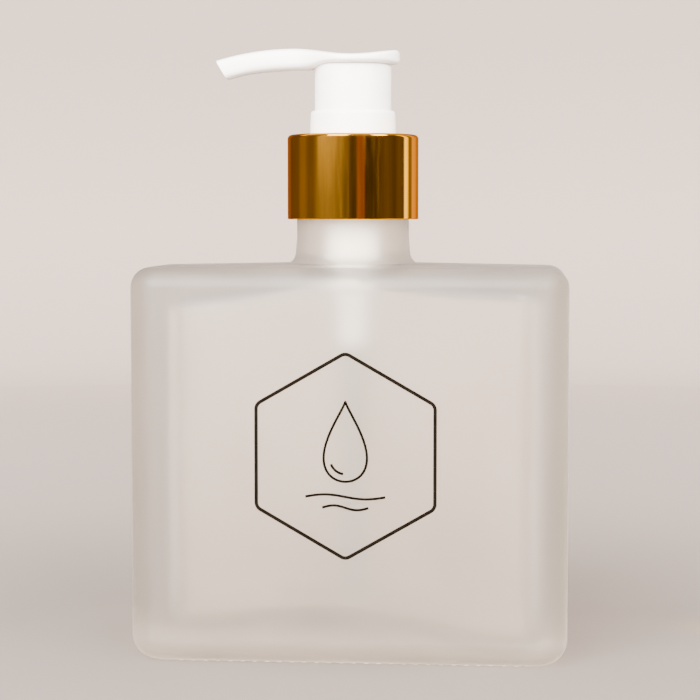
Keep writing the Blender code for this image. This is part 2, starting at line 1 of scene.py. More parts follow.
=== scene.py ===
"""The look of the pump oil bottle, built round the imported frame. Sizes are in millimetres.

Pieces that are seen are rebuilt finely here in place of their plain CAD nodes, and the pieces
inside keep their CAD shape under a material of their own.
"""

import math

import bmesh
import bpy
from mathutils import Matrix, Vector


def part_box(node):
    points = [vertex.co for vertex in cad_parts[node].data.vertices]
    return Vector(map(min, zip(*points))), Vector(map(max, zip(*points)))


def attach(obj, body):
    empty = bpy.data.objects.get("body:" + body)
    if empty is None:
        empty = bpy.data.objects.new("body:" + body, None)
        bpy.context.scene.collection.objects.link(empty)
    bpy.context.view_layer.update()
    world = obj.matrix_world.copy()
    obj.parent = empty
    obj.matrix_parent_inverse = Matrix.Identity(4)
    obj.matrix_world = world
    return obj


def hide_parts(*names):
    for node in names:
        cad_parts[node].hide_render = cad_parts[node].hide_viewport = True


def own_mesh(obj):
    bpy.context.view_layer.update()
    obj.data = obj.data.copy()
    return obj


MM = 0.001

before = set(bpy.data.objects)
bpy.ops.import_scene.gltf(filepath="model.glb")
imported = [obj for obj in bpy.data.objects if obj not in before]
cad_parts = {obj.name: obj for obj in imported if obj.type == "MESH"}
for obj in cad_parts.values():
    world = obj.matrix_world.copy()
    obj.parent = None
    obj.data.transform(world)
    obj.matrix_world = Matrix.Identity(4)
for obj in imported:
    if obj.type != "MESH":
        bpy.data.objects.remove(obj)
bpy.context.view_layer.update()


def size_of(node):
    """Lowest and highest corner of a CAD node, in millimetres."""
    low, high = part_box(node)
    return low / MM, high / MM


BOTTLE_LOW, BOTTLE_HIGH = size_of("bottle")
SHELL_LOW, SHELL_HIGH = size_of("collar_shell")
COLLAR_LOW, COLLAR_HIGH = size_of("locking_collar")
HEAD_LOW, HEAD_HIGH = size_of("pump_head")

# Glass bottle, outside
HALF_WIDTH = BOTTLE_HIGH.x
HALF_DEPTH = BOTTLE_HIGH.y - 0.04  # leaves room for the printed ink
SHOULDER_HEIGHT = 96.0
SHOULDER_DROP = 0.7
PLAN_RADIUS = 8.0
SHOULDER_RADIUS = 5.0
HEEL_RADIUS = 6.0
LEAST_CORNER = 4.0  # of the outlines round its edges
SIDE_TOP = 80.0  # of the rings that run evenly up the side
BEARING_WIDTH = 2.5  # the flat ring that the bottle stands on
DISH_DEPTH = 1.2
DISH_SLOPE_WIDTH = 3.0
NECK_RADIUS = 13.7
NECK_DRAFT = 0.3
NECK_FLARE = 2.2
FLARE_HEIGHT = 3.0
DRAFT_TOP = 102.5
BORE_RADIUS = 10.0
FINISH_BASE = 107.6
FINISH_STEP = 0.4
FINISH_RADIUS = 12.55
LIP_HEIGHT = BOTTLE_HIGH.z
LIP_ROUND = 0.6
PITCH = 25.4 / 6
THREAD_TURNS = 1.5
THREAD_START = 111.1
THREAD_CREST = 13.75
THREAD_ROOT_DEPTH = 0.45  # how far the rib reaches into the glass
THREAD_ROOT_HALF, THREAD_CREST_HALF = 1.15, 0.45  # half its height at its root and crest
THREAD_FADE_STEPS = 9
THREAD_LOW_SHARE = 0.3  # of its height, at both of its ends

# Small ridges on the ring that the bottle stands on
STIPPLE_HEIGHT = 0.3
STIPPLE_SPACING = 3.0
STIPPLE_MARGIN = 4.0
STIPPLE_RADIUS = 1.0
STIPPLE_HALF_SPAN = 65  # in degrees
STIPPLE_SUNK = 0.05  # how far they reach into the glass
STIPPLE_THIN, STIPPLE_THICK = 0.12, 0.28
STIPPLE_STEPS = 6

# Cavity, before its face is made to wander
WALL = 3.9
FLOOR_THICKNESS = 8.0
CAVITY_RADIUS = 6.0
CAVITY_TOP_RADIUS = 3.5
CAVITY_PLAN_RADIUS = 7.5
CEILING_DROP = 1.5
THROAT_ROUND = 2.5
FLOOR_MIDDLE_INSET = 10.0
FLOOR_MIDDLE_CORNER = 1.0

# How the cavity's face wanders. The floor has a wave along its front and back, which leaves it
# flat under the tube and fades out up the walls.
WAVE_HEIGHT = 2.9
WAVE_LENGTH = 13.7  # for each radian
WAVE_SHIFT = 4.0
WAVE_SLOPE = 0.045
WAVE_FADE_HEIGHT = 22.0
WAVE_FLAT_HALF_WIDTH = 4.0
WAVE_EDGE_WIDTH = 6.0
# The ceiling's edges form an arch with its top at the neck, lower towards the left.
ARCH_HEIGHT = 4.6
ARCH_HALF_WIDTH = 16.0
ARCH_DROP = 1.6
ARCH_SLOPE = 0.037
ARCH_FOOT = 68.0
ARCH_FADE_HEIGHT = 14.0
# The side walls thicken from this far out, by so much on the left and on the right.
THICKENING_START = 20.0
LEFT_THICKENING = 4.6
RIGHT_THICKENING = 2.2
# The front and back bulge by a fraction of a millimetre, less so towards the top.
BULGE = 0.35
BULGE_LENGTH_X = 13.0
BULGE_LENGTH_Z = 19.0
BULGE_TOP = 88.0
BULGE_FADE_HEIGHT = 20.0
FACE_LEAST_Y = 10.0  # anything further out is the front or back

# Etched glass
ETCHED_ROUGHNESS = 0.5
ETCHED_CLEARNESS = 0.97
CLEAR_ROUGHNESS_SHARE = 0.2  # of the etched roughness, on the cavity's face
GLASS_TINTS = (0.935, 0.88, 0.81), (0.965, 0.915, 0.85)
GLASS_DENSITY = 45.0
GLASS_DEPTH_COLOUR = (0.56, 0.53, 0.50)
LAMP_TINT = (0.80, 0.78, 0.75)  # what a lamp's light turns to in the glass

# Metal shell and locking collar
SHELL_RADIUS = SHELL_HIGH.x
SHELL_THICKNESS = 0.5
SHELL_HOLE = 10.6
SHELL_ROUND = 1.0
SHELL_EDGE = 0.1
REST_GAP = 0.15
COLLAR_TOP = 133.0
COLLAR_BOTTOM = 122.85
COLLAR_SHANK = 10.15
COLLAR_BORE = 9.55
GUIDE_RADIUS = 5.2
GUIDE_BORE = 3.55
COLLAR_TOP_RADIUS = 10.35
COLLAR_EDGE = 0.15
COLLAR_ROUND = 0.6
COLLAR_ROUND_HEIGHT = 1.0
COLLAR_FLOOR_THICKNESS = 0.8
SHELL_FOOT_ROUND = 0.25
GOLD_LOW, GOLD_HIGH, GOLD_RIM = (0.76, 0.34, 0.022), (0.80, 0.365, 0.03), (0.85, 0.42, 0.08)
GOLD_ROUGHNESS = 0.05

# Twist lock between the collar and the head; angles in degrees about Z
LOCK_INNER = 6.0
LOCK_OUTER = 7.6
LOCK_WALL_TOP = 131.3
LOCK_RIB_INNER = 6.4
LOCK_RIB_HALF_WIDTH = 1.3
LOCK_RIB_ANGLE = 90.0
LOCK_TURN = 90.0
LOCK_GAP = 14.0
LUG_SPAN = 11.0
LOCK_SUNK = 0.4  # how far the walls reach into the collar's floor
RIB_SUNK = 0.5  # how far the rib reaches into the skirt and its ceiling

# Head
SKIRT_RADIUS = 9.33
SKIRT_BORE = 8.0
SKIRT_TOP = 144.25
SKIRT_ROUND = 0.9
SKIRT_FOOT_ROUND = 0.3
CEILING = 141.9
CUP_TOP = 145.2
BOSS_RADIUS = 4.7
BOSS_BORE = 3.45
BOSS_RISE = 0.8
PAD_RADIUS = HEAD_HIGH.x
PAD_END_ROUND = 1.3
PAD_END_SHRINK = 0.95  # share of its thickness, cubed, that the pad's rounded end loses
PAD_UNDERSIDE = 144.1
PAD_LIFT = 0.35
PAD_DISH_TOP = 146.5
PAD_DISH_X = 0.3
SECTION_POWER = 0.55  # 1 would make the head's sections ellipses, and 0 boxes
CREST_HEIGHT = HEAD_HIGH.z
REAR_CREST_HEIGHT = 147.85
CREST_X = -14.4
SPOUT_DROOP = 0.0076
SPOUT_TIP = HEAD_LOW.x
SPOUT_UNDERSIDE = 143.0
UNDERSIDE_DROOP = 0.0045
UNDERSIDE_EASE = 6.0
SPOUT_HALF_WIDTH = 5.0
ROOT_X = -14.5
TIP_HALF_WIDTH = 3.5
TIP_SLANT = 2.7
SLANT_REACH = 9.0
CHANNEL_RADIUS = 1.35
CHANNEL_LINE = (
    (0, 144.2),
    (-0.4, 144.8),
    (-1.2, 145.1),
    (-12, 145.4),
    (-22, 144.9),
    (-29, 143.9),
)
CHANNEL_MOUTH_HEIGHT = 142.9

WHITE_TONES = (0.86, 0.86, 0.85), (0.90, 0.90, 0.89)

# The return spring
SPRING_RADIUS = 4.3
SPRING_WIRE = 0.7
SPRING_TURNS = 8
SPRING_END_RISE = 0.85
SPRING_BOTTOM = 91.6
SPRING_TOP = 106.2

# Painted shade darkens the pump housing below the neck: the share of its colour that is left
# below the lower of two heights, in metres
HOUSING_SHADE = 0.5
HOUSING_SHADE_LOW, HOUSING_SHADE_HIGH = 0.094, 0.101

# Printed emblem on the front face
EMBLEM_X = 0.0
EMBLEM_Z = 50.8
EMBLEM_RADIUS = 24.5
INK_WIDTH = 0.84
THIN_INK_WIDTH = 0.6
INK_DEPTH = 0.05
EMBLEM_CORNER = 2.0
INK_LOW, INK_HIGH = (0.0025, 0.0017, 0.001), (0.006, 0.004, 0.0022)
DROP_RISE = 3.5
DROP_RADIUS = 7.2
DROP_HEIGHT = 19.0
DROP_POWER = 1.4
SHINE_DROP = 0.6
SHINE_RADIUS = 3.6
SHINE_START, SHINE_END = 200, 262  # in degrees
RIPPLES = ((9.6, 9.5), (12.2, 5.5))  # how far below the middle each lies, and its half width
RIPPLE_HEIGHT = 0.55

# Studio, with the floor and wall in millimetres
SWEEP_RADIUS = 1300.0
SWEEP_HEIGHT = 900.0
SWEEP_BEND = 500.0
SWEEP_INNER_RADIUS = 60.0
SWEEP_SIDES = 96
SWEEP_DROP = 0.02  # how far below the bottle's base the floor lies
PAPER_TONE = (1.0, 0.83, 0.735)
PAPER_MOTTLE = 0.03
PAPER_SPAN = 2.0
# How pale the paper's painted shade is, by its distance from the object's axis plus its height,
# in metres
PAINTED_PAPER_SHADE = (
    (0.04, 0.13),
    (0.13, 0.165),
    (0.3, 0.28),
    (0.6, 0.43),
    (0.9, 0.62),
    (1.2, 0.62),
    (1.5, 0.5),
)
WORLD_COLOUR = (0.97, 0.94, 0.92)
WORLD_STRENGTH = 0.9

# Each light's name, place, watts, and width and height, in metres
LIGHTS = (
    ("key", (-0.42, -0.88, 0.56), 77, (1.0, 0.66)),
    ("fill", (0.62, -0.80, 0.54), 46, (0.8, 0.62)),
    ("left_glint", (-0.30, -0.48, 0.90), 11, (0.5, 0.35)),
    ("right_glint", (0.55, -0.22, 0.85), 6, (0.36, 0.26)),
)
LIGHT_COLOUR = (1, 0.97, 0.93)
LIGHT_TARGET = (0, 0, 0.10)

# Camera, in metres but for the lens
CAMERA_PLACE = (0.0428, -0.4982, 0.108)
CAMERA_TARGET = (-0.00075, 0, 0.0746)
CAMERA_LENS = 104.8
CAMERA_SENSOR = 36

# What the metal shell mirrors: degrees from the front, brightness and colour, in order round it
DULL, PALE, AMBER, YELLOW = (1, 0.82, 0.9), (1, 0.95, 0.9), (1, 0.45, 0.2), (1, 0.95, 0.02)
SURROUND = (
    (-180, 0.60, DULL),
    (-141, 0.45, DULL),
    (-133, 0.22, DULL),
    (-106, 0.20, DULL),
    (-98, 0.36, DULL),
    (-88, 0.34, DULL),
    (-79, 0.22, DULL),
    (-68, 0.23, DULL),
    (-57, 0.42, PALE),
    (-34, 0.46, PALE),
    (-8, 0.22, PALE),
    (4, 0.10, DULL),
    (10, 0.12, DULL),
    (13, 0.42, AMBER),
    (24, 0.32, AMBER),
    (27, 0.05, DULL),
    (44, 0.09, DULL),
    (66, 0.19, DULL),
    (82, 0.12, DULL),
    (92, 0.20, DULL),
    (104, 0.15, DULL),
    (107, 3.60, YELLOW),
    (114, 3.20, YELLOW),
    (119, 0.34, DULL),
    (128, 0.46, DULL),
    (131, 1.60, DULL),
    (146, 1.50, DULL),
    (150, 1.00, DULL),
    (168, 0.80, DULL),
    (180, 0.60, DULL),
)
SURROUND_STRENGTH = 4.0
# A brighter patch high on the left: degrees from the front and how much it adds
HAZE = ((-62, 0.0), (-56, 1.3), (-36, 0.9), (-12, 0.3), (0, 0.0))
HAZE_LOW, HAZE_HIGH = 0.118, 0.15  # heights in metres
SURROUND_RINGS = ((90, 1), (700, 1), (700, 800))  # radius and height


def point(x, y, z):
    """A vector in metres from millimetres."""
    return Vector((x * MM, y * MM, z * MM))


def held(value):
    """The value, kept between 0 and 1."""
    return min(1.0, max(0.0, value))


# ---------------------------------------------------------------- materials

NOISE_LOW, NOISE_HIGH = 0.3, 0.7  # most of a noise's values lie between these


def add_node(tree, kind, **values):
    """A shader node with the given settings and, by name, socket values."""
    node = tree.nodes.new(kind)
    for key, value in values.items():
        if hasattr(node, key):
            setattr(node, key, value)
        else:
            node.inputs[key.replace("_", " ")].default_value = value
    return node


def new_material(name):
    """A material with its node tree and its Principled shader."""
    material = bpy.data.materials.new(name)
    material.use_nodes = True
    return material, material.node_tree, material.node_tree.nodes["Principled BSDF"]


def noise(tree, scale, detail=3.0, roughness=0.55, stretch=(1, 1, 1)):
    """Object-space noise with about this many features per metre."""
    coordinates = add_node(tree, "ShaderNodeTexCoord")
    mapping = add_node(tree, "ShaderNodeMapping")
    mapping.inputs["Scale"].default_value = stretch
    tree.links.new(coordinates.outputs["Object"], mapping.inputs["Vector"])
    texture = add_node(tree, "ShaderNodeTexNoise", Scale=scale, Detail=detail)
    texture.inputs["Roughness"].default_value = roughness
    tree.links.new(mapping.outputs["Vector"], texture.inputs["Vector"])
    return texture.outputs["Fac"]


def object_point(tree):
    """The point's place as a vector, and its x, y and z, in metres."""
    vector = add_node(tree, "ShaderNodeTexCoord").outputs["Object"]
    parts = add_node(tree, "ShaderNodeSeparateXYZ")
    tree.links.new(vector, parts.inputs["Vector"])
    return vector, [parts.outputs[axis] for axis in "XYZ"]


def ramp_over(tree, value, stops):
    """Colours in order at their places from 0 to 1 along a value."""
    node = add_node(tree, "ShaderNodeValToRGB")
    tree.links.new(value, node.inputs["Fac"])
    elements = node.color_ramp.elements
    while len(elements) < len(stops):
        elements.new(1.0)
    for element, (place, colour) in zip(elements, stops):
        element.position = place
        element.color = (*colour, 1)
    return node.outputs["Color"]


def ramp(tree, value, low, high):
    """Blends two colours over a noise's middle range."""
    return ramp_over(tree, value, ((NOISE_LOW, low), (NOISE_HIGH, high)))


def mapped(tree, value, start, end, low, high):
    """Maps start to low and end to high, and holds both beyond them."""
    node = add_node(tree, "ShaderNodeMapRange")
    numbers = {"From Min": start, "From Max": end, "To Min": low, "To Max": high}
    for name, number in numbers.items():
        node.inputs[name].default_value = number
    tree.links.new(value, node.inputs["Value"])
    return node.outputs["Result"]


def spread(tree, value, low, high):
    """Maps a noise's middle range to a range of numbers."""
    return mapped(tree, value, NOISE_LOW, NOISE_HIGH, low, high)


def math_node(tree, operation, first, second):
    """The result of an operation on a socket and a number or another socket."""
    node = add_node(tree, "ShaderNodeMath", operation=operation)
    tree.links.new(first, node.inputs[0])
    if isinstance(second, float):
        node.inputs[1].default_value = second
    else:
        tree.links.new(second, node.inputs[1])
    return node.outputs["Value"]


def bump(tree, shader, height, strength, distance):
    """Fine relief on a shader, distance deep in millimetres."""
    node = add_node(tree, "ShaderNodeBump", Strength=strength, Distance=distance * MM)
    tree.links.new(height, node.inputs["Height"])
    tree.links.new(node.outputs["Normal"], shader.inputs["Normal"])


def plastic(name, low, high, roughness, subsurface=0.0, clearness=0.0):
    """Moulded plastic: a faint mottle of colour and gloss over a fine mould texture."""
    material, tree, shader = new_material(name)
    broad, fine = noise(tree, 160), noise(tree, 2600, detail=2.0)
    tree.links.new(ramp(tree, broad, low, high), shader.inputs["Base Color"])
    rough = spread(tree, broad, roughness - 0.03, roughness + 0.03)
    tree.links.new(rough, shader.inputs["Roughness"])
    shader.inputs["IOR"].default_value = 1.5
    shader.inputs["Transmission Weight"].default_value = clearness
    shader.inputs["Subsurface Weight"].default_value = subsurface
    shader.inputs["Subsurface Radius"].default_value = (1.0, 0.9, 0.8)
    shader.inputs["Subsurface Scale"].default_value = 1.6 * MM
    bump(tree, shader, fine, strength=0.12, distance=0.02)
    return material


def metal(name, low, high, rim, roughness, stretch=(1, 1, 1)):
    """Polished metal with faint marks, which stretch can draw out; rim is its colour edge-on."""
    material, tree, shader = new_material(name)
    broad = noise(tree, 120)
    marks = noise(tree, 1800, roughness=0.6, stretch=stretch)
    tree.links.new(ramp(tree, broad, low, high), shader.inputs["Base Color"])
    rough = spread(tree, marks, roughness - 0.03, roughness + 0.05)
    tree.links.new(rough, shader.inputs["Roughness"])
    shader.inputs["Metallic"].default_value = 1.0
    shader.inputs["Specular Tint"].default_value = (*rim, 1)
    bump(tree, shader, marks, strength=0.05, distance=0.01)
    return material


def glass(name):
    """Glass etched to a fine milky grain, and clear on the faces whose "inside" value is 1."""
    material, tree, shader = new_material(name)
    broad, fine = noise(tree, 45, detail=2.0), noise(tree, 3500, detail=2.0)
    inside = add_node(tree, "ShaderNodeAttribute", attribute_name="inside").outputs["Fac"]
    tree.links.new(ramp(tree, broad, *GLASS_TINTS), shader.inputs["Base Color"])
    etched = spread(tree, broad, ETCHED_ROUGHNESS * 0.93, ETCHED_ROUGHNESS * 1.07)
    share = mapped(tree, inside, 0.0, 1.0, 1.0, CLEAR_ROUGHNESS_SHARE)
    tree.links.new(math_node(tree, "MULTIPLY", etched, share), shader.inputs["Roughness"])
    clearness = mapped(tree, inside, 0.0, 1.0, ETCHED_CLEARNESS, 1.0)
    tree.links.new(clearness, shader.inputs["Transmission Weight"])
    shader.inputs["IOR"].default_value = 1.5
    bump(tree, shader, fine, strength=0.35, distance=0.02)
    output = tree.nodes["Material Output"]
    depth = add_node(tree, "ShaderNodeVolumeAbsorption", Density=GLASS_DENSITY)
    depth.inputs["Color"].default_value = (*GLASS_DEPTH_COLOUR, 1)
    tree.links.new(depth.outputs["Volume"], output.inputs["Volume"])
    let_lamps_through(tree, shader, output)
    return material


def let_lamps_through(tree, shader, output):
    """The lamps light what stands behind the glass, as they do through real frosted glass."""
    through = add_node(tree, "ShaderNodeBsdfTransparent")
    through.inputs["Color"].default_value = (*LAMP_TINT, 1)
    mixed = add_node(tree, "ShaderNodeMixShader")
    path = add_node(tree, "ShaderNodeLightPath")
    tree.links.new(path.outputs["Is Shadow Ray"], mixed.inputs["Fac"])
    tree.links.new(shader.outputs["BSDF"], mixed.inputs[1])
    tree.links.new(through.outputs["BSDF"], mixed.inputs[2])
    tree.links.new(mixed.outputs["Shader"], output.inputs["Surface"])


def ink(name):
    """Dark bronze ink with a faint, uneven gloss."""
    material, tree, shader = new_material(name)
    broad = noise(tree, 700)
    tree.links.new(ramp(tree, broad, INK_LOW, INK_HIGH), shader.inputs["Base Color"])
    tree.links.new(spread(tree, broad, 0.3, 0.45), shader.inputs["Roughness"])
    shader.inputs["Specular IOR Level"].default_value = 0.04
    return material


# ---------------------------------------------------------------- shapes


def add_piece(name, mesh, body, slot, *materials):
    """A piece of the object that moves with a CAD body."""
    obj = bpy.data.objects.new(name, mesh)
    bpy.context.scene.collection.objects.link(obj)
    for material in materials:
        obj.data.materials.append(material)
    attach(obj, body)
    return obj


def mesh_from(name, bm, angle=32):
    """The mesh of a bmesh, smooth except at edges sharper than angle."""
    bmesh.ops.recalc_face_normals(bm, faces=bm.faces)
    mesh = bpy.data.meshes.new(name)
    bm.to_mesh(mesh)
    bm.free()
    mesh.shade_smooth()
    mesh.set_sharp_from_angle(angle=math.radians(angle))
    return mesh


def arc(centre_x, centre_y, radius, start, end, steps):
    """Points along an arc between two angles in degrees."""
    angles = [math.radians(start + (end - start) * i / steps) for i in range(steps + 1)]
    return [(centre_x + radius * math.cos(a), centre_y + radius * math.sin(a)) for a in angles]


def skin(rings, closed_ends=True, ring_loop=False, bm=None):
    """A bmesh, new unless one is given, over rings of equally many points.

    ring_loop joins the last ring to the first, and otherwise closed_ends shuts both ends.
    """
    if bm is None:
        bm = bmesh.new()
    rows = [[bm.verts.new(p) for p in ring] for ring in rings]
    pairs = list(zip(rows, rows[1:]))
    if ring_loop:
        pairs.append((rows[-1], rows[0]))
    for low, high in pairs:
        for i in range(len(low)):
            j = (i + 1) % len(low)
            bm.faces.new((low[i], low[j], high[j], high[i]))
    if closed_ends and not ring_loop:
        bm.faces.new(list(reversed(rows[0])))
        bm.faces.new(rows[-1])
    return bm


def circle(radius, height, count):
    """Points round the Z axis, at one height."""
    angles = [math.tau * i / count for i in range(count)]
    return [point(radius * math.cos(a), radius * math.sin(a), height) for a in angles]


def turned_ring(profile, sides=128):
    """A bmesh ring turned about Z from a closed profile of (radius, height)."""
    return skin([circle(r, z, sides) for r, z in profile], ring_loop=True)


def join_shapes(obj, shape, operation):
    """Combines an object's mesh with the solid in a bmesh, for good."""
    tool = bpy.data.objects.new("tool", mesh_from("tool", shape))
    bpy.context.scene.collection.objects.link(tool)
    modifier = obj.modifiers.new("shape", "BOOLEAN")
    modifier.operation = operation
    modifier.solver = "EXACT"
    modifier.object = tool
    graph = bpy.context.evaluated_depsgraph_get()
    mesh = bpy.data.meshes.new_from_object(obj.evaluated_get(graph))
    obj.modifiers.clear()
    bpy.data.objects.remove(tool)
    obj.data = mesh
    mesh.shade_smooth()
    mesh.set_sharp_from_angle(angle=math.radians(32))


# ---------------------------------------------------------------- bottle

# Steps along each quarter of the bottle's outline
SIDE_STEPS = 5
CORNER_STEPS = 14
FACE_STEPS = 14
QUADRANT_STEPS = SIDE_STEPS + CORNER_STEPS + FACE_STEPS


def rounded_outline(inset, radius, height, wall=0.0):
    """The bottle's outline seen from above, inset by so much, with its corners rounded."""
    half_width, half_depth = HALF_WIDTH - wall - inset, HALF_DEPTH - wall - inset
    straight_x, straight_y = half_width - radius, half_depth - radius
    quadrant = [(half_width, straight_y * i / SIDE_STEPS) for i in range(SIDE_STEPS)]
    quadrant += arc(straight_x, straight_y, radius, 0, 90, CORNER_STEPS)
    quadrant += [(straight_x * (1 - i / FACE_STEPS), half_depth) for i in range(1, FACE_STEPS)]
    half = quadrant + [(0.0, half_depth)] + [(-x, y) for x, y in reversed(quadrant[1:])]
    return [point(x, y, height) for x, y in half + [(-x, -y) for x, y in half]]


def round_outline(radius, height):
    """A circle with as many points as rounded_outline has."""
    return circle(radius, height, 4 * QUADRANT_STEPS)


def blended(first, second, steps):
    """The rings between two rings, without the two."""
    shares = [i / steps for i in range(1, steps)]
    return [[a.lerp(b, share) for a, b in zip(first, second)] for share in shares]


def edge_rings(radius, plan_radius, edge, wall, start, end, steps):
    """Rings round a quarter-round edge whose outermost height is edge."""
    rings = []
    for run, rise in arc(0, 0, radius, start, end, steps):
        inset = radius - run
        corner = max(plan_radius - inset, LEAST_CORNER)
        rings.append(rounded_outline(inset, corner, edge + rise, wall))
    return rings


def outer_rings():
    """The outside, from the hollow under the base up to the lip."""
    inset = HEEL_RADIUS + BEARING_WIDTH
    rings = [rounded_outline(inset + DISH_SLOPE_WIDTH, LEAST_CORNER, DISH_DEPTH)]
    rings.append(rounded_outline(inset, LEAST_CORNER, STIPPLE_HEIGHT))
    edge = HEEL_RADIUS + STIPPLE_HEIGHT
    rings += edge_rings(HEEL_RADIUS, PLAN_RADIUS, edge, 0.0, -90, 0, 12)
    rings += blended(rings[-1], rounded_outline(0, PLAN_RADIUS, SIDE_TOP), 6)
    edge = SHOULDER_HEIGHT - SHOULDER_DROP - SHOULDER_RADIUS
    shoulder = edge_rings(SHOULDER_RADIUS, PLAN_RADIUS, edge, 0.0, 0, 90, 12)
    flare_radius = NECK_RADIUS + NECK_DRAFT + NECK_FLARE
    foot = round_outline(flare_radius, SHOULDER_HEIGHT)
    rings += shoulder + blended(shoulder[-1], foot, 8)
    flare = [
        (flare_radius + NECK_FLARE * run, SHOULDER_HEIGHT + FLARE_HEIGHT * (1 + rise))
        for run, rise in arc(0, 0, 1.0, -90, -180, 12)
    ]
    finish = [(NECK_RADIUS, DRAFT_TOP), (NECK_RADIUS, FINISH_BASE - FINISH_STEP)]
    finish.append((FINISH_RADIUS, FINISH_BASE))
    lip = arc(FINISH_RADIUS - LIP_ROUND, LIP_HEIGHT - LIP_ROUND, LIP_ROUND, 0, 90, 4)
    return rings + [round_outline(r, z) for r, z in flare + finish + lip]


def inner_rings():
    """The inside, from the lip down to the middle of the cavity's floor."""
    top = SHOULDER_HEIGHT - WALL
    throat = arc(BORE_RADIUS + THROAT_ROUND, top + THROAT_ROUND, THROAT_ROUND, 180, 270, 8)
    lip = arc(BORE_RADIUS + LIP_ROUND, LIP_HEIGHT - LIP_ROUND, LIP_ROUND, 90, 180, 4)
    rings = [round_outline(r, z) for r, z in lip + throat]
    edge = top - CEILING_DROP - CAVITY_TOP_RADIUS
    upper = edge_rings(CAVITY_TOP_RADIUS, CAVITY_PLAN_RADIUS, edge, WALL, 90, 0, 8)
    edge = FLOOR_THICKNESS + CAVITY_RADIUS
    lower = edge_rings(CAVITY_RADIUS, CAVITY_PLAN_RADIUS, edge, WALL, 0, -90, 8)
    rings += blended(rings[-1], upper[0], 5) + upper
    rings += blended(upper[-1], lower[0], 12) + lower
    inset = CAVITY_RADIUS + FLOOR_MIDDLE_INSET
    middle = rounded_outline(inset, FLOOR_MIDDLE_CORNER, FLOOR_THICKNESS, WALL)
    rings += blended(lower[-1], middle, 8) + [middle]
    return [[flowed(p) for p in ring] for ring in rings]


def flowed(p):
    """A point of the cavity's face, which wanders from the plain shape, as blown glass does."""
    x, y, z = p.x / MM, p.y / MM, p.z / MM
    low = held(1 - max(0.0, z - FLOOR_THICKNESS) / WAVE_FADE_HEIGHT)
    low *= held((abs(y) - WAVE_FLAT_HALF_WIDTH) / WAVE_EDGE_WIDTH)
    wave = (WAVE_HEIGHT * math.cos((x + WAVE_SHIFT) / WAVE_LENGTH) - WAVE_SLOPE * x) * low
    high = held((z - ARCH_FOOT) / ARCH_FADE_HEIGHT)
    room = max(0.0, SHOULDER_HEIGHT - WALL - z)
    arch = ARCH_HEIGHT / (1 + (x / ARCH_HALF_WIDTH) ** 2) - ARCH_DROP
    lift = min(room, arch - ARCH_SLOPE * max(0.0, -x)) * high
    run = max(0.0, abs(x) - THICKENING_START) / (HALF_WIDTH - WALL - THICKENING_START)
    thicker = run * (LEFT_THICKENING if x < 0 else RIGHT_THICKENING)
    bulge = BULGE * math.sin(x / BULGE_LENGTH_X + z / BULGE_LENGTH_Z)
    bulge *= held((BULGE_TOP - z) / BULGE_FADE_HEIGHT)
    shift_y = math.copysign(bulge, y) if abs(y) > FACE_LEAST_Y else 0.0
    return p + point(-math.copysign(thicker, x), shift_y, wave + lift)


def thread_rib(steps_per_turn=48):
    """The helical rib of the neck's screw thread, lower at both of its ends."""
    count = int(steps_per_turn * THREAD_TURNS)
    buried = FINISH_RADIUS - THREAD_ROOT_DEPTH
    root, crest = THREAD_ROOT_HALF, THREAD_CREST_HALF
    rings = []
    for i in range(count + 1):
        angle = math.tau * THREAD_TURNS * i / count
        height = THREAD_START + PITCH * THREAD_TURNS * i / count
        share = min(1.0, i / THREAD_FADE_STEPS, (count - i) / THREAD_FADE_STEPS)
        share = THREAD_LOW_SHARE + (1 - THREAD_LOW_SHARE) * share
        top = buried + (THREAD_CREST - buried) * share
        section = [(buried, -root), (top, -crest), (top, crest), (buried, root)]
        x, y = math.cos(angle), math.sin(angle)
        rings.append([point(r * x, r * y, height + z) for r, z in section])
    return skin(rings)


def build_bottle():
    """The glass, etched outside, with the cavity's own face left clear."""
    outer = outer_rings()
    bm = skin(outer + inner_rings())
    bm.faces.ensure_lookup_table()
    inner_start = (len(outer) - 1) * 4 * QUADRANT_STEPS
    for index, face in enumerate(bm.faces):
        face.material_index = 0 if index < inner_start else 1
    bm.faces[-2].material_index = 0  # the middle of the hollow under the base
    material = glass("etched_glass")
    mesh = mesh_from("bottle_glass", bm)
    bottle = add_piece("bottle_glass", mesh, "bottle", "frosted_glass", material, material)
    join_shapes(bottle, thread_rib(), "UNION")
    mark_inside(bottle.data)
    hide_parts("bottle")
    return material


def mark_inside(mesh):
    """Turns the faces' second material index into their "inside" value, and drops the index."""
    inside = mesh.attributes.new("inside", "FLOAT", "FACE")
    for polygon, value in zip(mesh.polygons, inside.data):
        value.value = float(polygon.material_index == 1)
        polygon.material_index = 0
    mesh.materials.pop()


def stipple_places():
    """Each stipple's x and y on the bearing ring, and the direction it faces in degrees."""
    inset = HEEL_RADIUS + BEARING_WIDTH / 2
    half_width, half_depth = HALF_WIDTH - inset, HALF_DEPTH - inset
    along = int((half_width - STIPPLE_MARGIN) * 2 / STIPPLE_SPACING)
    across = int((half_depth - STIPPLE_MARGIN) * 2 / STIPPLE_SPACING)
    places = []
    for side in (-1, 1):
        offsets = [(i - along / 2) * STIPPLE_SPACING for i in range(along + 1)]
        places += [(x, side * half_depth, 90 * side) for x in offsets]
        offsets = [(i - across / 2) * STIPPLE_SPACING for i in range(across + 1)]
        places += [(side * half_width, y, 0 if side > 0 else 180) for y in offsets]
    return places


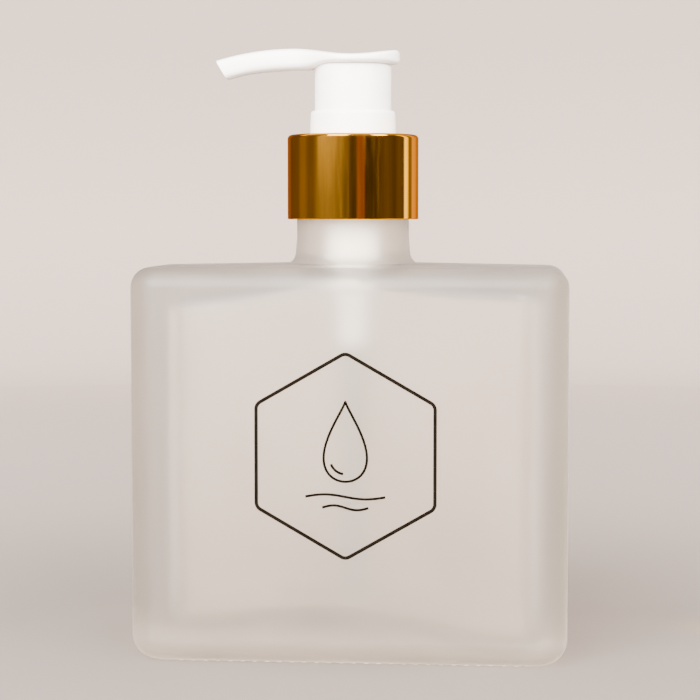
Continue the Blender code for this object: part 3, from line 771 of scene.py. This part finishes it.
def build_stipples(material):
    """A row of small half-moon ridges on the ring that the bottle stands on."""
    bm = bmesh.new()
    top = STIPPLE_HEIGHT + STIPPLE_SUNK
    for x, y, facing in stipple_places():
        start, end = facing - STIPPLE_HALF_SPAN, facing + STIPPLE_HALF_SPAN
        rings = []
        for i, (u, v) in enumerate(arc(0, 0, STIPPLE_RADIUS, start, end, STIPPLE_STEPS)):
            swell = math.sin(math.pi * i / STIPPLE_STEPS)
            size = STIPPLE_THIN + (STIPPLE_THICK - STIPPLE_THIN) * swell
            side = Vector((u, v, 0)).normalized() * size
            base = Vector((x + u, y + v, top))
            foot = base - Vector((0, 0, top)) * size / STIPPLE_THICK
            corners = [base + side, foot + side * 0.5, foot - side * 0.5, base - side]
            rings.append([c * MM for c in corners])
        skin(rings, bm=bm)
    mesh = mesh_from("base_stipples", bm, angle=60)
    add_piece("base_stipples", mesh, "bottle", "frosted_glass", material)


# ---------------------------------------------------------------- emblem


def stroke(bm, path, width=INK_WIDTH, closed=False):
    """Adds a flat line of ink on the front face along (x, z) points."""
    count = len(path)
    front, back = BOTTLE_LOW.y, -HALF_DEPTH + INK_DEPTH
    rings = []
    for i, (x, z) in enumerate(path):
        before = path[i - 1] if closed or i > 0 else path[i]
        after = path[(i + 1) % count] if closed or i < count - 1 else path[i]
        tangent = Vector((after[0] - before[0], after[1] - before[1])).normalized()
        side = Vector((-tangent.y, tangent.x)) * width / 2
        left, right = Vector((x, z)) + side, Vector((x, z)) - side
        corners = [(left.x, front, left.y), (right.x, front, right.y)]
        corners += [(right.x, back, right.y), (left.x, back, left.y)]
        rings.append([point(*c) for c in corners])
    skin(rings, ring_loop=closed, bm=bm)


def polygon_path(sides, radius, corner):
    """A regular polygon with rounded corners, one at the top, round the emblem's middle."""
    path = []
    inner = radius - corner / math.cos(math.pi / sides)
    for k in range(sides):
        middle = 90 + 360 * k / sides
        x = EMBLEM_X + inner * math.cos(math.radians(middle))
        z = EMBLEM_Z + inner * math.sin(math.radians(middle))
        path += arc(x, z, corner, middle - 180 / sides, middle + 180 / sides, 8)
    return path


def drop_path(centre_z, radius, height, count=64):
    """The outline of a falling drop, as (x, z) points."""
    path = []
    for i in range(count):
        t = math.tau * i / count
        x = radius * math.sin(t) * math.sin(t / 2) ** DROP_POWER
        path.append((EMBLEM_X + x, centre_z + height * math.cos(t) / 2))
    return path


def ripple_path(drop, half_width, count=24):
    """One period of a shallow wave below the emblem's middle, as (x, z) points."""
    path = []
    for i in range(count + 1):
        share = i / count
        x = EMBLEM_X + half_width * (2 * share - 1)
        path.append((x, EMBLEM_Z - drop + RIPPLE_HEIGHT * math.sin(math.tau * share)))
    return path


def build_emblem():
    """A plain generic mark: a hexagon of thin line round an outlined drop over two ripples."""
    bm = bmesh.new()
    stroke(bm, polygon_path(6, EMBLEM_RADIUS, EMBLEM_CORNER), closed=True)
    drop = drop_path(EMBLEM_Z + DROP_RISE, DROP_RADIUS, DROP_HEIGHT)
    stroke(bm, drop, THIN_INK_WIDTH, closed=True)
    shine = arc(EMBLEM_X, EMBLEM_Z - SHINE_DROP, SHINE_RADIUS, SHINE_START, SHINE_END, 12)
    stroke(bm, shine, THIN_INK_WIDTH)
    for below, half_width in RIPPLES:
        stroke(bm, ripple_path(below, half_width), THIN_INK_WIDTH)
    emblem = bpy.data.objects.new("printed_emblem", mesh_from("printed_emblem", bm))
    bpy.context.scene.collection.objects.link(emblem)
    emblem.data.materials.append(ink("bronze_ink"))
    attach(emblem, "bottle")


# ---------------------------------------------------------------- collar pieces


def build_shell():
    """The metal shell round the screw cap, with rolled edges."""
    inner, top, bottom = SHELL_RADIUS - SHELL_THICKNESS, SHELL_HIGH.z, SHELL_LOW.z
    profile = [(SHELL_HOLE, top - SHELL_EDGE), (SHELL_HOLE + SHELL_EDGE, top)]
    profile += arc(SHELL_RADIUS - SHELL_ROUND, top - SHELL_ROUND, SHELL_ROUND, 90, 0, 12)
    foot_round = SHELL_FOOT_ROUND
    profile.append((SHELL_RADIUS, top - SHELL_ROUND - SHELL_EDGE))
    profile.append((SHELL_RADIUS, bottom + foot_round + SHELL_EDGE))
    profile += arc(SHELL_RADIUS - foot_round, bottom + foot_round, foot_round, 0, -90, 6)
    profile += [(inner, bottom), (inner, top - SHELL_THICKNESS)]
    profile += [(SHELL_HOLE, top - SHELL_THICKNESS)]
    upright = (1, 1, 0.03)  # draws the marks out along the axis
    gold = metal("polished_gold", GOLD_LOW, GOLD_HIGH, GOLD_RIM, GOLD_ROUGHNESS, upright)
    mesh = mesh_from("gold_sleeve", turned_ring(profile, sides=160), angle=40)
    shell = add_piece("gold_sleeve", mesh, "closure", "gold_aluminium", gold)
    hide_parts("collar_shell")


def wall_shape(inner, outer, bottom, top, start, end):
    """A bmesh of an upright wall that follows an arc about Z."""
    steps = max(2, round((end - start) / 4))
    outline = arc(0, 0, outer, start, end, steps) + arc(0, 0, inner, end, start, steps)
    return skin([[point(x, y, z) for x, y in outline] for z in (bottom, top)])


def build_locking_collar(material):
    """The collar round the head's skirt, with the stem's guide and the twist lock in it."""
    top, bottom, shoulder = COLLAR_TOP, COLLAR_BOTTOM, SHELL_HIGH.z + REST_GAP
    floor = bottom + COLLAR_FLOOR_THICKNESS
    profile = [(COLLAR_BORE, top - COLLAR_EDGE), (COLLAR_BORE + COLLAR_EDGE, top)]
    round_x, round_z = COLLAR_TOP_RADIUS - COLLAR_ROUND, top - COLLAR_ROUND_HEIGHT
    profile += [
        (round_x + COLLAR_ROUND * run, round_z + COLLAR_ROUND_HEIGHT * rise)
        for run, rise in arc(0, 0, 1.0, 90, 0, 10)
    ]
    profile += [(COLLAR_HIGH.x, shoulder), (COLLAR_SHANK, shoulder), (COLLAR_SHANK, bottom)]
    profile += [(GUIDE_RADIUS, bottom), (GUIDE_RADIUS, COLLAR_LOW.z), (GUIDE_BORE, COLLAR_LOW.z)]
    profile += [(GUIDE_BORE, floor), (COLLAR_BORE, floor)]
    mesh = mesh_from("white_locking_collar", turned_ring(profile))
    collar = add_piece("white_locking_collar", mesh, "pump_body", "white_plastic", material)
    open_side = LOCK_RIB_ANGLE + LOCK_GAP
    shut_side = LOCK_RIB_ANGLE - LOCK_TURN - LOCK_GAP
    walls = [
        (COLLAR_HIGH.z, open_side, open_side + LUG_SPAN),
        (LOCK_WALL_TOP, shut_side - LUG_SPAN / 2, LOCK_RIB_ANGLE - LOCK_GAP),
        (COLLAR_HIGH.z, shut_side - LUG_SPAN, shut_side),
    ]
    for high, start, end in walls:
        wall = wall_shape(LOCK_INNER, LOCK_OUTER, floor - LOCK_SUNK, high, start, end)
        join_shapes(collar, wall, "UNION")
    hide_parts("locking_collar")


# ---------------------------------------------------------------- head


def head_top(x):
    """Height of the upper face: a hollow for the thumb, then the spout's falling back."""
    if x < CREST_X:
        return CREST_HEIGHT - SPOUT_DROOP * (x - CREST_X) ** 2
    crest = REAR_CREST_HEIGHT if x > PAD_DISH_X else CREST_HEIGHT
    share = min(1.0, abs(x - PAD_DISH_X) / (PAD_DISH_X - CREST_X))
    return PAD_DISH_TOP + (crest - PAD_DISH_TOP) * (1 - math.cos(math.pi * share)) / 2


def head_underside(x):
    """Height of the lower face, which rises a little from the spout to the pad."""
    start = -PAD_RADIUS
    share = held((x - start) / UNDERSIDE_EASE)
    ease = share * share * (3 - 2 * share)
    spout = SPOUT_UNDERSIDE - UNDERSIDE_DROOP * min(0.0, x - start) ** 2
    lift = PAD_LIFT * (max(0.0, x) / PAD_RADIUS) ** 2
    return spout + (PAD_UNDERSIDE - SPOUT_UNDERSIDE) * ease + lift


def head_half_width(x):
    """Half the width seen from above: a round pad that narrows into the spout."""
    if x > 0:
        return math.sqrt(max(0.0, PAD_RADIUS**2 - x**2))
    share = min(1.0, (x - SPOUT_TIP) / (-PAD_RADIUS - SPOUT_TIP))
    spout = TIP_HALF_WIDTH + (SPOUT_HALF_WIDTH - TIP_HALF_WIDTH) * share
    widening = (1 - math.cos(math.pi * max(0.0, 1 - x / ROOT_X))) / 2
    return spout + (PAD_RADIUS - spout) * widening


def head_section(x, count=72):
    """A rounded section across the head, slanted near the spout's mouth."""
    high, low = head_top(x), head_underside(x)
    end_share = max(0.0, (x - PAD_RADIUS + PAD_END_ROUND) / PAD_END_ROUND)
    shrink = (1 - PAD_END_SHRINK * end_share**3) ** (1 / 3)
    middle, half = (high + low) / 2, (high - low) / 2 * shrink
    slant = TIP_SLANT * max(0.0, 1 - (x - SPOUT_TIP) / SLANT_REACH)
    section = []
    for i in range(count):
        angle = math.tau * i / count
        across, up = math.cos(angle), math.sin(angle)
        y = head_half_width(x) * math.copysign(abs(across) ** SECTION_POWER, across)
        rise = math.copysign(abs(up) ** SECTION_POWER, up)
        section.append(point(x + slant * (1 - rise) / 2, y, middle + half * rise))
    return section


def bar_shape(path, radius, sides=24):
    """A bmesh of a round bar along points in the XZ plane."""
    rings = []
    for i, (x, z) in enumerate(path):
        before, after = path[max(i - 1, 0)], path[min(i + 1, len(path) - 1)]
        tangent = Vector((after[0] - before[0], after[1] - before[1])).normalized()
        across = Vector((-tangent.y, 0, tangent.x))
        ring = []
        for k in range(sides):
            a = math.tau * k / sides
            offset = across * math.cos(a) + Vector((0, 1, 0)) * math.sin(a)
            ring.append((Vector((x, 0, z)) + offset * radius) * MM)
        rings.append(ring)
    return skin(rings)


def build_head(material):
    """The pad and spout in one loft, with the skirt and boss under it and the channel cut out."""
    start = -PAD_RADIUS
    stations = [SPOUT_TIP + (start - SPOUT_TIP) * i / 30 for i in range(30)]
    stations += [start * (1 - i / 16) for i in range(16)]
    angles = [*range(0, 60, 4), *range(60, 84, 3), 84, 86, 88]  # closer towards the round end
    stations += [PAD_RADIUS * math.sin(math.radians(angle)) for angle in angles]
    mesh = mesh_from("pump_head_white", skin([head_section(x) for x in stations]))
    head = add_piece("pump_head_white", mesh, "head", "white_plastic", material)
    foot, foot_round = HEAD_LOW.z, SKIRT_FOOT_ROUND
    boss_foot = foot + BOSS_RISE
    profile = arc(SKIRT_RADIUS - foot_round, foot + foot_round, foot_round, 0, -90, 5)
    profile += [(SKIRT_BORE, foot), (SKIRT_BORE, CEILING), (BOSS_RADIUS, CEILING)]
    profile += [(BOSS_RADIUS, boss_foot), (BOSS_BORE, boss_foot), (BOSS_BORE, CEILING)]
    side = SKIRT_RADIUS - SKIRT_ROUND
    edge = [(side, CUP_TOP)] + arc(side, SKIRT_TOP - SKIRT_ROUND, SKIRT_ROUND, 90, 0, 8)
    rings = [circle(r, z, 128) for r, z in edge + profile]
    join_shapes(head, skin(rings), "UNION")
    half, near, far = LOCK_RIB_HALF_WIDTH, LOCK_RIB_INNER, SKIRT_BORE + RIB_SUNK
    outline = [(-half, near), (half, near), (half, far), (-half, far)]
    rib = [[point(x, y, z) for x, y in outline] for z in (foot + 0.1, CEILING + RIB_SUNK)]
    join_shapes(head, skin(rib), "UNION")
    # The channel's cutter starts in the boss's open bore and ends past the spout's tip.
    path = [(0, CEILING - 1), *CHANNEL_LINE, (SPOUT_TIP - 2, CHANNEL_MOUTH_HEIGHT)]
    join_shapes(head, bar_shape(path, CHANNEL_RADIUS), "DIFFERENCE")
    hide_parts("pump_head")


# ---------------------------------------------------------------- pieces inside


def build_spring(material):
    """The return spring, a coil at its resting length."""
    points_per_turn, wire_sides = 32, 14
    half = SPRING_WIRE / 2
    low, high = SPRING_BOTTOM + half, SPRING_TOP - half
    inner_rise = (high - low - 2 * SPRING_END_RISE) / (SPRING_TURNS - 2)
    wire = arc(SPRING_RADIUS, 0, half, 0, 360, wire_sides)[:-1]
    rings = []
    for i in range(points_per_turn * SPRING_TURNS + 1):
        turn = i / points_per_turn
        height = low + SPRING_END_RISE * (min(turn, 1) + max(turn - SPRING_TURNS + 1, 0))
        height += inner_rise * min(max(turn - 1, 0), SPRING_TURNS - 2)
        x, y = math.cos(math.tau * turn), math.sin(math.tau * turn)
        rings.append([point(r * x, r * y, height + z) for r, z in wire])
    mesh = mesh_from("spring_coil", skin(rings))
    spring = add_piece("spring_coil", mesh, "pump_body", "stainless_steel", material)
    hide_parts("return_spring")
    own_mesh(spring)


def dress(node, material):
    """Gives a CAD node a material, in place of its plain one."""
    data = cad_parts[node].data
    data.materials.clear()
    data.materials.append(material)


def shade_by_height(material, dimmest, low, high):
    """Paints shade on a look: dims its colour from full at one height to a share of it at a lower
    one.
    """
    tree = material.node_tree
    base = tree.nodes["Principled BSDF"].inputs["Base Color"]
    _, (_, _, height) = object_point(tree)
    shade = add_node(tree, "ShaderNodeHueSaturation")
    tree.links.new(mapped(tree, height, low, high, dimmest, 1.0), shade.inputs["Value"])
    tree.links.new(base.links[0].from_socket, shade.inputs["Color"])
    tree.links.new(shade.outputs["Color"], base)


def build_inside(white):
    """Looks for the CAD nodes that stay, and the spring."""
    low, high = (0.62, 0.63, 0.62), (0.68, 0.69, 0.68)
    natural = plastic("natural_plastic_look", low, high, roughness=0.4, clearness=0.94)
    low, high = (0.70, 0.72, 0.73), (0.76, 0.78, 0.79)
    seal = plastic("sealing_plastic_look", low, high, roughness=0.6, subsurface=0.1)
    low, high = (0.55, 0.55, 0.57), (0.66, 0.66, 0.68)
    steel = metal("spring_steel_look", low, high, rim=(1, 1, 1), roughness=0.22)
    housing = plastic("housing_look", *WHITE_TONES, roughness=0.34, subsurface=0.1)
    # Painted shade: the housing's colour darkens below the neck
    shade_by_height(housing, HOUSING_SHADE, HOUSING_SHADE_LOW, HOUSING_SHADE_HIGH)
    dress("pump_housing", housing)
    for node in ("screw_cap", "stem", "valve_plug"):
        dress(node, white)
    dress("dip_tube", natural)
    for node in ("gasket", "piston"):
        dress(node, seal)
    dress("check_ball", steel)
    build_spring(steel)


# ---------------------------------------------------------------- studio


def place_facing(name, data, place, target):
    """A light or camera that looks at the target."""
    obj = bpy.data.objects.new(name, data)
    bpy.context.scene.collection.objects.link(obj)
    obj.location = place
    direction = Vector(target) - obj.location
    obj.rotation_euler = direction.to_track_quat("-Z", "Y").to_euler()
    return obj


def add_light(name, place, watts, size):
    """A rectangular soft light."""
    data = bpy.data.lights.new(name, "AREA")
    data.energy = watts
    data.color = LIGHT_COLOUR
    data.shape = "RECTANGLE"
    data.size, data.size_y = size
    place_facing(name, data, place, LIGHT_TARGET)


def stage_object(name, bm, material):
    """Part of the studio, which is no part of the object."""
    mesh = mesh_from(name, bm)
    obj = bpy.data.objects.new(name, mesh)
    bpy.context.scene.collection.objects.link(obj)
    obj.data.materials.append(material)
    return obj


def build_sweep():
    """A round pale floor that curves up into a wall all the way round."""
    flat, bend = SWEEP_RADIUS - SWEEP_BEND, SWEEP_BEND
    profile = [(SWEEP_INNER_RADIUS, 0.0), (flat, 0.0)]
    profile += arc(flat, bend, bend, -90, 0, 16) + [(SWEEP_RADIUS, SWEEP_HEIGHT)]
    rings = [circle(r, z - SWEEP_DROP, SWEEP_SIDES) for r, z in profile]
    bm = skin(rings, closed_ends=False)
    bm.verts.ensure_lookup_table()
    bm.faces.new(bm.verts[:SWEEP_SIDES])
    stage_object("floor", bm, paper())


def paper():
    """Matt paper with painted shade, darkest round the object."""
    material, tree, shader = new_material("sweep_paper")
    place, (_, _, height) = object_point(tree)
    flat = add_node(tree, "ShaderNodeVectorMath", operation="MULTIPLY")
    tree.links.new(place, flat.inputs[0])
    flat.inputs[1].default_value = (1, 1, 0)
    distance = add_node(tree, "ShaderNodeVectorMath", operation="LENGTH")
    tree.links.new(flat.outputs["Vector"], distance.inputs[0])
    along = math_node(tree, "ADD", distance.outputs["Value"], height)
    mottle = math_node(tree, "MULTIPLY", noise(tree, 5), PAPER_MOTTLE)
    share = math_node(tree, "MULTIPLY", math_node(tree, "ADD", along, mottle), 1 / PAPER_SPAN)
    # The paper's painted shade: darkest round the object, paler further out and up the wall
    stops = [(at / PAPER_SPAN, [shade * c for c in PAPER_TONE]) for at, shade in PAINTED_PAPER_SHADE]
    painted_shade = ramp_over(tree, share, stops)
    tree.links.new(painted_shade, shader.inputs["Base Color"])
    shader.inputs["Roughness"].default_value = 0.95
    return material


def build_surround():
    """A floor and wall round the object that only show in its reflections."""
    bm = skin([circle(r, z, 180) for r, z in SURROUND_RINGS], closed_ends=False)
    material, tree, shader = new_material("surround_card")
    _, (x, y, height) = object_point(tree)
    angle = math_node(tree, "ARCTAN2", x, math_node(tree, "MULTIPLY", y, -1.0))
    place = math_node(tree, "ADD", math_node(tree, "MULTIPLY", angle, 1 / math.tau), 0.5)
    stops = [
        (0.5 + degrees / 360, [c * bright / SURROUND_STRENGTH for c in colour])
        for degrees, bright, colour in SURROUND
    ]
    haze_stops = [(0.5 + degrees / 360, (more, more, more)) for degrees, more in HAZE]
    rise = mapped(tree, height, HAZE_LOW, HAZE_HIGH, 0.0, 1.0)
    haze = math_node(tree, "MULTIPLY", ramp_over(tree, place, haze_stops), rise)
    uneven = mapped(tree, noise(tree, 25), 0.0, 1.0, 0.8, 1.2)
    glow = math_node(tree, "MULTIPLY", math_node(tree, "ADD", haze, 1.0), uneven)
    tree.links.new(ramp_over(tree, place, stops), shader.inputs["Emission Color"])
    strength = math_node(tree, "MULTIPLY", glow, SURROUND_STRENGTH)
    tree.links.new(strength, shader.inputs["Emission Strength"])
    shader.inputs["Base Color"].default_value = (0, 0, 0, 1)
    shader.inputs["Specular IOR Level"].default_value = 0.0
    card = stage_object("surround_card", bm, material)
    card.visible_camera = False
    card.visible_diffuse = False
    card.visible_transmission = False
    card.visible_shadow = False


def build_studio():
    """The floor and wall, the world's light, the lights and the cards in the reflections."""
    build_sweep()
    world = bpy.data.worlds.new("studio")
    bpy.context.scene.world = world
    world.use_nodes = True
    background = world.node_tree.nodes["Background"]
    background.inputs["Color"].default_value = (*WORLD_COLOUR, 1)
    background.inputs["Strength"].default_value = WORLD_STRENGTH
    for light in LIGHTS:
        add_light(*light)
    build_surround()


def build_camera():
    data = bpy.data.cameras.new("camera")
    data.sensor_width = CAMERA_SENSOR
    data.lens = CAMERA_LENS
    bpy.context.scene.camera = place_facing("camera", data, CAMERA_PLACE, CAMERA_TARGET)


def main():
    white = plastic("white_plastic_look", *WHITE_TONES, roughness=0.34, subsurface=0.2)
    etched = build_bottle()
    build_stipples(etched)
    build_emblem()
    build_shell()
    build_locking_collar(white)
    build_head(white)
    build_inside(white)
    build_studio()
    build_camera()


main()
